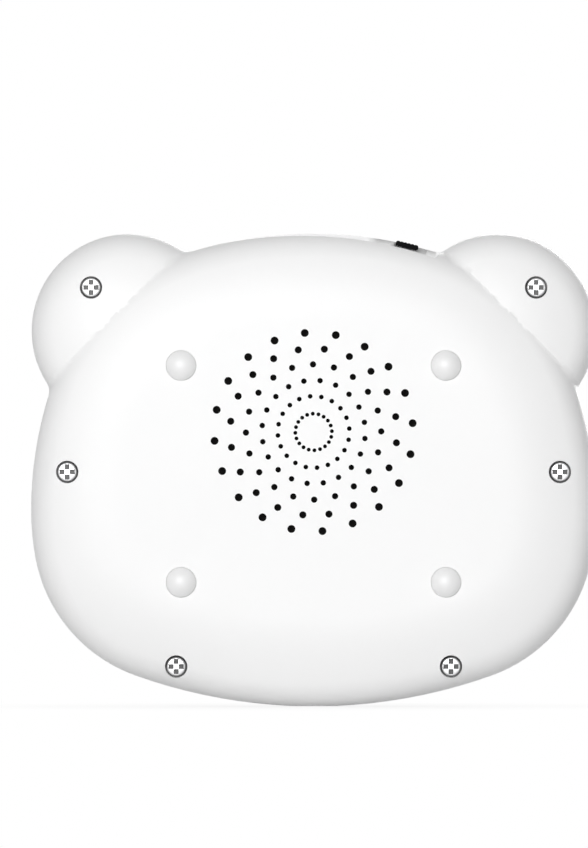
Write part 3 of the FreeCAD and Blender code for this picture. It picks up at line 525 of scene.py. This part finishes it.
def plated(name, colour, roughness, brushed_mm=0.25, painted_shade_attribute=None):
    """Plated or pressed metal with fine tool marks, uneven shine, and painted shade where an
    attribute marks it.
    """
    material, shader, flow, place = surface(name, roughness, metallic=1.0)
    marks = flow.node("ShaderNodeTexNoise", {}, {
        "Vector": place, "Scale": 1000 / brushed_mm, "Detail": 2.0,
    })
    stain = flow.node("ShaderNodeTexNoise", {}, {
        "Vector": place, "Scale": 1000 / 3, "Detail": 3.0,
    })
    darker = tuple(level * 0.8 for level in colour)
    blend = flow.node(
        "ShaderNodeMix", {"data_type": "RGBA"},
        {0: stain, 6: (*darker, 1), 7: (*colour, 1)}, 2,
    )
    # Painted shade: the marked places go dark and lose their metal, standing in for shade and
    # dark reflection.
    if painted_shade_attribute:
        deep = flow.node("ShaderNodeAttribute", {"attribute_name": painted_shade_attribute}, {}, "Fac")
        painted_shade_colour = tuple(level * wing_shade for level in colour)
        blend = flow.node(
            "ShaderNodeMix", {"data_type": "RGBA"}, {0: deep, 6: blend, 7: (*painted_shade_colour, 1)}, 2,
        )
        feed(shader, "Metallic", 1 - deep)
    feed(shader, "Base Color", blend)
    feed(shader, "Roughness", roughness - 0.08 + 0.16 * marks)
    relief = flow.node("ShaderNodeBump", {}, {
        "Strength": 0.5, "Distance": 0.000006, "Height": marks,
    }, "Normal")
    feed(shader, "Normal", relief)
    return material


set_on_points = place_tree()
screw_places = ((0.0555, 0.1044), (0.0614, 0.0584), (0.03425, 0.0099))
screw_head_radius = 0.0026
screw_head_height = 0.0019
screw_head_edge = 0.0008
screw_crown = 0.00012
crown_points = ((0.0012, -0.00008), (0.0018, 0))
screw_sides = 48
screw_search = screw_head_radius * 1.2
shank_radius = 0.00145
shank_length = 0.012
wing = 0.00064
wing_reach = 0.00194
wing_start = 0.00062
wing_depth = 0.0012
middle_depth = 0.00012
deep_wing = wing * 0.96
deep_reach = wing_reach * 0.99
above = -0.001
# Painted shade: the colour that recess wings and heads' rounded sides are mixed towards, as a
# share of the steel's.
wing_shade = 0.03
painted_shade_reach = wing_reach * 1.01
painted_shade_from = middle_depth * 1.5
painted_shade_to = wing_depth * 1.01
# Painted dark reflection on the head's rounded side: its strength, where across the radius it
# starts, and how fast it rises.
rim_painted_shade = 0.95
rim_painted_shade_start = 0.81
rim_painted_shade_width = 0.1

screw_steel = plated("zinc plated steel", (0.84, 0.84, 0.85), 0.3, painted_shade_attribute="recess")
screw = turned("screw", [
    (0, -screw_crown), *crown_points,
    *bend(screw_head_radius - screw_head_edge, screw_head_edge, screw_head_edge, -90, 0),
    (screw_head_radius, screw_head_height), (shank_radius, screw_head_height),
    (shank_radius, shank_length), (0, shank_length + screw_head_height),
], screw_sides)
carved(screw, [
    bars("level bar", [((-wing_reach, above, -wing), (wing_reach, middle_depth, wing))]),
    bars("upright bar", [((-wing, above, -wing_reach), (wing, middle_depth, wing_reach))]),
    bars("wings", [
        ((wing_start, above, -deep_wing), (deep_reach, wing_depth, deep_wing)),
        ((-deep_reach, above, -deep_wing), (-wing_start, wing_depth, deep_wing)),
        ((-deep_wing, above, wing_start), (deep_wing, wing_depth, deep_reach)),
        ((-deep_wing, above, -deep_reach), (deep_wing, wing_depth, -wing_start)),
    ]),
])
# Painted shade weights: full in the deep wings of the cross recess, and a painted dark reflection
# rising across the head's rounded side.
recess = screw.data.attributes.new("recess", "FLOAT", "POINT")
for corner in screw.data.vertices:
    inside = abs(corner.co.x) < painted_shade_reach and abs(corner.co.z) < painted_shade_reach
    deep = inside and painted_shade_from < corner.co.y < painted_shade_to
    outwards = math.hypot(corner.co.x, corner.co.z) / screw_head_radius
    at_side = min(max((outwards - rim_painted_shade_start) / rim_painted_shade_width, 0.0), 1.0)
    recess.data[corner.index].value = 1.0 if deep else rim_painted_shade * at_side
screw_tops = [
    (x, lowest_y("case_screws", x, z, screw_search) + screw_crown, z)
    for x, z in both_sides(screw_places)
]
case_screws = repeated("case_screw_set", screw, screw_tops, screw_steel)
rounded(case_screws, 30)
fitted(case_screws, screw_steel, "case", "case_screws")


# Rear feet: four soft silicone domes, moulded in one piece with a neck and a barb.
# They are pushed through the rear shell from behind and rest in shallow round seats,
# so that the player can lie on its back without scratching.
foot_places = ((0.033, 0.0849), (0.033, 0.0309))
foot_radius = 0.00375
foot_stand = 0.0021
foot_seat = 0.0006
foot_neck = 0.0016
foot_barb = 0.0025
foot_barb_tip = 0.0012
foot_barb_start = 0.002
foot_barb_end = 0.0042
foot_sides = 56
foot_search = foot_radius * 1.2
dome_radius = (foot_radius ** 2 + foot_stand ** 2) / (2 * foot_stand)
dome_edge = math.degrees(math.asin(foot_radius / dome_radius))
dome_start = -87
dome_steps = 14

silicone = moulded(
    "white silicone", (0.85, 0.85, 0.85), 0.44, grain_mm=0.6, tint=0.01, specular=1.0
)
foot = turned("foot", [
    (0, 0), *bend(0, dome_radius, dome_radius, dome_start, -90 + dome_edge, dome_steps),
    (foot_radius, foot_stand + foot_seat), (foot_neck, foot_stand + foot_seat),
    (foot_neck, foot_stand + foot_barb_start), (foot_barb, foot_stand + foot_barb_start),
    (foot_barb_tip, foot_stand + foot_barb_end), (0, foot_stand + foot_barb_end),
], foot_sides)
foot_tips = [
    (x, lowest_y("rear_feet", x, z, foot_search), z) for x, z in both_sides(foot_places)
]
rear_feet = repeated("rear_foot_set", foot, foot_tips, silicone)
rounded(rear_feet, 40)
fitted(rear_feet, silicone, "case", "rear_feet")


# Face buttons: two round eyes and an oval nose in glossy charcoal ABS, two grey cheeks.
# Each cap has a soft edge, a flange that keeps it behind the shell's wall, and a stem that
# stands on its key switch.
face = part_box("front_shell")[1][1]
button_edge = 0.0009
button_edge_end = 82
button_flange = 0.0012
button_crown = 0.00025
button_sides = 72
flange_sink = 0.0021
flange_thickness = 0.001
stem_radius = 0.0022


def cap_outline(radius, foot_y, top_y):
    """Outline of a button: stem, flange, side, soft edge and a slightly crowned top."""
    flange_high = face - flange_sink
    flange_low = flange_high - flange_thickness
    flange_radius = radius + button_flange
    edge_y = top_y - button_crown - button_edge
    edge = bend(radius - button_edge, edge_y, button_edge, 0, button_edge_end)
    return [
        (0, foot_y), (stem_radius, foot_y), (stem_radius, flange_low),
        (flange_radius, flange_low), (flange_radius, flange_high), (radius, flange_high),
        *edge, (radius * 0.5, top_y - button_crown * 0.3), (0, top_y),
    ]


charcoal = moulded(
    "charcoal gloss", (0.014, 0.014, 0.0155), 0.2, grain_mm=1.2, grain_depth_mm=0.002, coat=0.4
)
button_grey = moulded("button grey", (0.55, 0.56, 0.58), 0.4)
button_shapes = (
    ("play", 0.0, 0.050, 0.0125, 0.0090, charcoal, "button_charcoal"),
    ("previous", 0.026, 0.071, 0.0075, 0.0075, charcoal, "button_charcoal"),
    ("next", -0.026, 0.071, 0.0075, 0.0075, charcoal, "button_charcoal"),
    ("volume_down", 0.042, 0.0425, 0.0055, 0.0055, button_grey, "button_grey"),
    ("volume_up", -0.042, 0.0425, 0.0055, 0.0055, button_grey, "button_grey"),
)
for label, x, z, half_width, half_height, material, slot in button_shapes:
    node = label + "_button"
    low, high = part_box(node)
    cap = turned(
        label + "_cap", cap_outline(half_width, low[1], high[1]), button_sides,
        (1.0, half_height / half_width),
    )
    cap.data.transform(Matrix.Translation((x, 0, z)))
    rounded(cap, 35)
    fitted(cap, material, label, node)


# Power switch: a black ABS knob with grip ribs, pressed on the lever of a slide switch.
# It runs in an oblong pocket in the front shell's crown and stays where it is put.
knob_edge = 0.00012
knob_black = moulded("knob black", (0.004, 0.004, 0.0044), 0.6, grain_mm=0.25, specular=0.05)
knob = joined_copy("power_switch_knob", "switch_knob")
softening = knob.modifiers.new("soft edges", "BEVEL")
softening.width = knob_edge
softening.segments = 2
softening.limit_method = "ANGLE"
softening.angle_limit = math.radians(40)
finished_mesh(knob)
rounded(knob, 45)
fitted(knob, knob_black, "power_switch", "power_switch_knob")


# Sockets and status light: a headphone jack with a black barrel, a charging socket drawn
# from steel strip with its contact tongue, and a clear rod that shows a small lamp's light.
# The jack and the socket are soldered to the board and reach through the crown.
black_plastic = moulded("black plastic", (0.02, 0.02, 0.021), 0.5)
pressed_steel = plated("pressed steel", (0.55, 0.55, 0.56), 0.36)
clear_rod = moulded("clear rod", (0.82, 0.84, 0.86), 0.12, grain_mm=2.0, grain_depth_mm=0.001)
for node, name, material, slot in (
    ("headphone_socket", "headphone_jack", black_plastic, "black_plastic"),
    ("charging_socket", "charging_sleeve", pressed_steel, "speaker_steel"),
    ("status_lens", "status_rod", clear_rod, "lens_clear"),
):
    piece = joined_copy(node, name)
    rounded(piece, 35)
    fitted(piece, material, "case", node)


# Inner parts: the speaker behind its black cloth, the board with what is soldered on it, and
# the pouch cell on its pad. They are carried over as they are and take their own finishes:
# lacquered fibre glass, drawn and pressed metal, pulp, rubber, foil and woven cloth.
def woven(name, colour, thread_mm):
    """Woven cloth: two crossing sets of threads in relief."""
    material, shader, flow, place = surface(name, 0.9, specular=0.15)
    rows = flow.node("ShaderNodeTexWave", {"bands_direction": "X"}, {
        "Vector": place, "Scale": 1000 / thread_mm / 20, "Distortion": 0.4,
    }, 1)
    columns = flow.node("ShaderNodeTexWave", {"bands_direction": "Z"}, {
        "Vector": place, "Scale": 1000 / thread_mm / 20, "Distortion": 0.4,
    }, 1)
    weave = rows * columns
    darker = tuple(level * 0.5 for level in colour)
    blend = flow.node(
        "ShaderNodeMix", {"data_type": "RGBA"},
        {0: weave, 6: (*darker, 1), 7: (*colour, 1)}, 2,
    )
    feed(shader, "Base Color", blend)
    relief = flow.node("ShaderNodeBump", {}, {
        "Strength": 0.7, "Distance": 0.00005, "Height": weave,
    }, "Normal")
    feed(shader, "Normal", relief)
    return material


black_cloth = woven("black cloth", (0.006, 0.005, 0.0045), 0.3)
amber_cloth = woven("amber cloth", (0.5, 0.32, 0.1), 0.5)
pulp = moulded("black pulp", (0.02, 0.02, 0.02), 0.85, grain_mm=0.5, grain_depth_mm=0.05)
soft_rubber = moulded("soft rubber", (0.018, 0.018, 0.018), 0.7, grain_mm=0.5)
ferrite = moulded("ferrite", (0.05, 0.05, 0.054), 0.6, grain_mm=0.3, grain_depth_mm=0.03)
copper = plated("copper wire", (0.72, 0.33, 0.14), 0.3)
board_green = moulded("board green", (0.01, 0.12, 0.045), 0.3, grain_mm=1.5, coat=0.3)
can_aluminium = plated("can aluminium", (0.75, 0.75, 0.77), 0.3)
cell_foil = plated("cell foil", (0.7, 0.7, 0.72), 0.5, 1.5)
plug_ivory = moulded("plug ivory", (0.68, 0.63, 0.48), 0.45)
light_cap = moulded("light cap", (0.88, 0.86, 0.7), 0.25, grain_mm=1.0)
inner_finishes = (
    (black_cloth, ("grille_cloth",)),
    (amber_cloth, ("speaker_spider",)),
    (pulp, ("speaker_cone", "speaker_dust_cap")),
    (soft_rubber, ("speaker_gasket", "speaker_surround", "battery_pad")),
    (ferrite, ("speaker_magnet",)),
    (copper, ("voice_coil",)),
    (pressed_steel, (
        "speaker_frame", "speaker_top_plate", "speaker_yoke", "power_switch_body",
    )),
    (screw_steel, ("speaker_screws", "board_screws")),
    (board_green, ("main_board",)),
    (can_aluminium, ("capacitors",)),
    (cell_foil, ("battery_cell",)),
    (plug_ivory, ("cell_plug", "speaker_plug")),
    (light_cap, ("status_light",)),
    (black_plastic, (
        "speaker_terminals", "audio_chip", "memory_chip", "key_switches", "charging_tongue",
        "power_switch_slider", "play_plunger", "previous_plunger", "next_plunger",
        "volume_down_plunger", "volume_up_plunger",
    )),
)
for material, names in inner_finishes:
    for name in names:
        nodes[name].data.materials.clear()
        nodes[name].data.materials.append(material)


# Studio: a pale table top that turns white away from the player, one large soft lamp at the
# upper left of the back, a weaker one for the face, and an even white surround.
table_reach = 1.6
table_drop = 0.0002
table_tone = 0.76
fade_start = 0.85
fade_reach = 0.12
table_mesh = bpy.data.meshes.new("table_top")
table_mesh.from_pydata(
    [(-table_reach, -table_reach, 0), (table_reach, -table_reach, 0),
     (table_reach, table_reach, 0), (-table_reach, table_reach, 0)], [], [(0, 1, 2, 3)],
)
table_top = linked("table_top", table_mesh)
table_top.location.z = -table_drop
pale = bpy.data.materials.new("pale table")
pale.use_nodes = True
pale_flow = Flow(pale.node_tree)
pale_shader = pale.node_tree.nodes["Principled BSDF"]
pale_shader.inputs["Base Color"].default_value = (table_tone, table_tone, table_tone, 1)
pale_shader.inputs["Roughness"].default_value = 0.9
pale_place = pale_flow.node("ShaderNodeTexCoord", output="Object")
away = pale_flow.node("ShaderNodeVectorMath", {"operation": "LENGTH"}, {0: pale_place}, "Value")
fading = pale_flow.node("ShaderNodeMapRange", {"interpolation_type": "SMOOTHSTEP"}, {
    "Value": away, "From Min": 0.0, "From Max": fade_reach, "To Min": fade_start, "To Max": 1.0,
})
rays = pale.node_tree.nodes.new("ShaderNodeLightPath")


def seen(tree_flow, path):
    """One for rays from the camera, off gloss or through glass, and nought for the rest."""
    direct = Flow(tree_flow.tree, path.outputs["Is Camera Ray"])
    gloss = Flow(tree_flow.tree, path.outputs["Is Glossy Ray"])
    through = Flow(tree_flow.tree, path.outputs["Is Transmission Ray"])
    either = tree_flow.node("ShaderNodeMath", {"operation": "MAXIMUM"}, {0: direct, 1: gloss})
    return tree_flow.node("ShaderNodeMath", {"operation": "MAXIMUM"}, {0: either, 1: through})


white = pale_flow.node("ShaderNodeEmission", {}, {"Color": (1, 1, 1, 1), "Strength": 1.0})
pale_mix = pale_flow.node("ShaderNodeMixShader", {}, {
    0: seen(pale_flow, rays) * fading, 1: Flow(pale.node_tree, pale_shader.outputs[0]), 2: white,
})
pale_out = pale.node_tree.nodes["Material Output"]
pale.node_tree.links.new(pale_mix.socket, pale_out.inputs["Surface"])
table_mesh.materials.append(pale)

surround_level = 0.32
world = bpy.data.worlds.new("white surround")
world.use_nodes = True
bpy.context.scene.world = world
world_flow = Flow(world.node_tree)
world_rays = world.node_tree.nodes.new("ShaderNodeLightPath")
strength = surround_level + (1 - surround_level) * seen(world_flow, world_rays)
backdrop = world.node_tree.nodes["Background"]
backdrop.inputs["Color"].default_value = (1, 1, 1, 1)
world.node_tree.links.new(strength.socket, backdrop.inputs["Strength"])


lamp_size = 0.8
lamp_target = Vector((0, 0, 0.06))
key_power = 13.1
face_power = 10.4


def soft_lamp(name, place, power):
    """Square lamp that looks at the middle of the player."""
    lamp = bpy.data.lights.new(name, "AREA")
    lamp.energy = power
    lamp.size = lamp_size
    holder = bpy.data.objects.new(name, lamp)
    holder.location = place
    aim = lamp_target - Vector(place)
    holder.rotation_euler = aim.to_track_quat("-Z", "Y").to_euler()
    bpy.context.scene.collection.objects.link(holder)


soft_lamp("key lamp", (-0.22, -1.25, 0.24), key_power)
soft_lamp("face lamp", (0.35, 1.3, 0.3), face_power)

view_distance = 6.0
view_height = 0.059
view_shift_across = -0.0231
view_shift_up = 0.0537
view_reach = 50
sensor_mm = 36.0
frame_height_m = 0.212
camera_data = bpy.data.cameras.new("camera")
camera_data.sensor_width = sensor_mm
camera_data.lens = sensor_mm * view_distance / frame_height_m
camera_data.shift_x = view_shift_across
camera_data.shift_y = view_shift_up
camera_data.clip_end = view_reach
camera = bpy.data.objects.new("camera", camera_data)
camera.location = (0, -view_distance, view_height)
camera.rotation_euler = (math.pi / 2, 0, 0)
bpy.context.scene.collection.objects.link(camera)
bpy.context.scene.camera = camera
bpy.context.scene.view_settings.view_transform = "Standard"
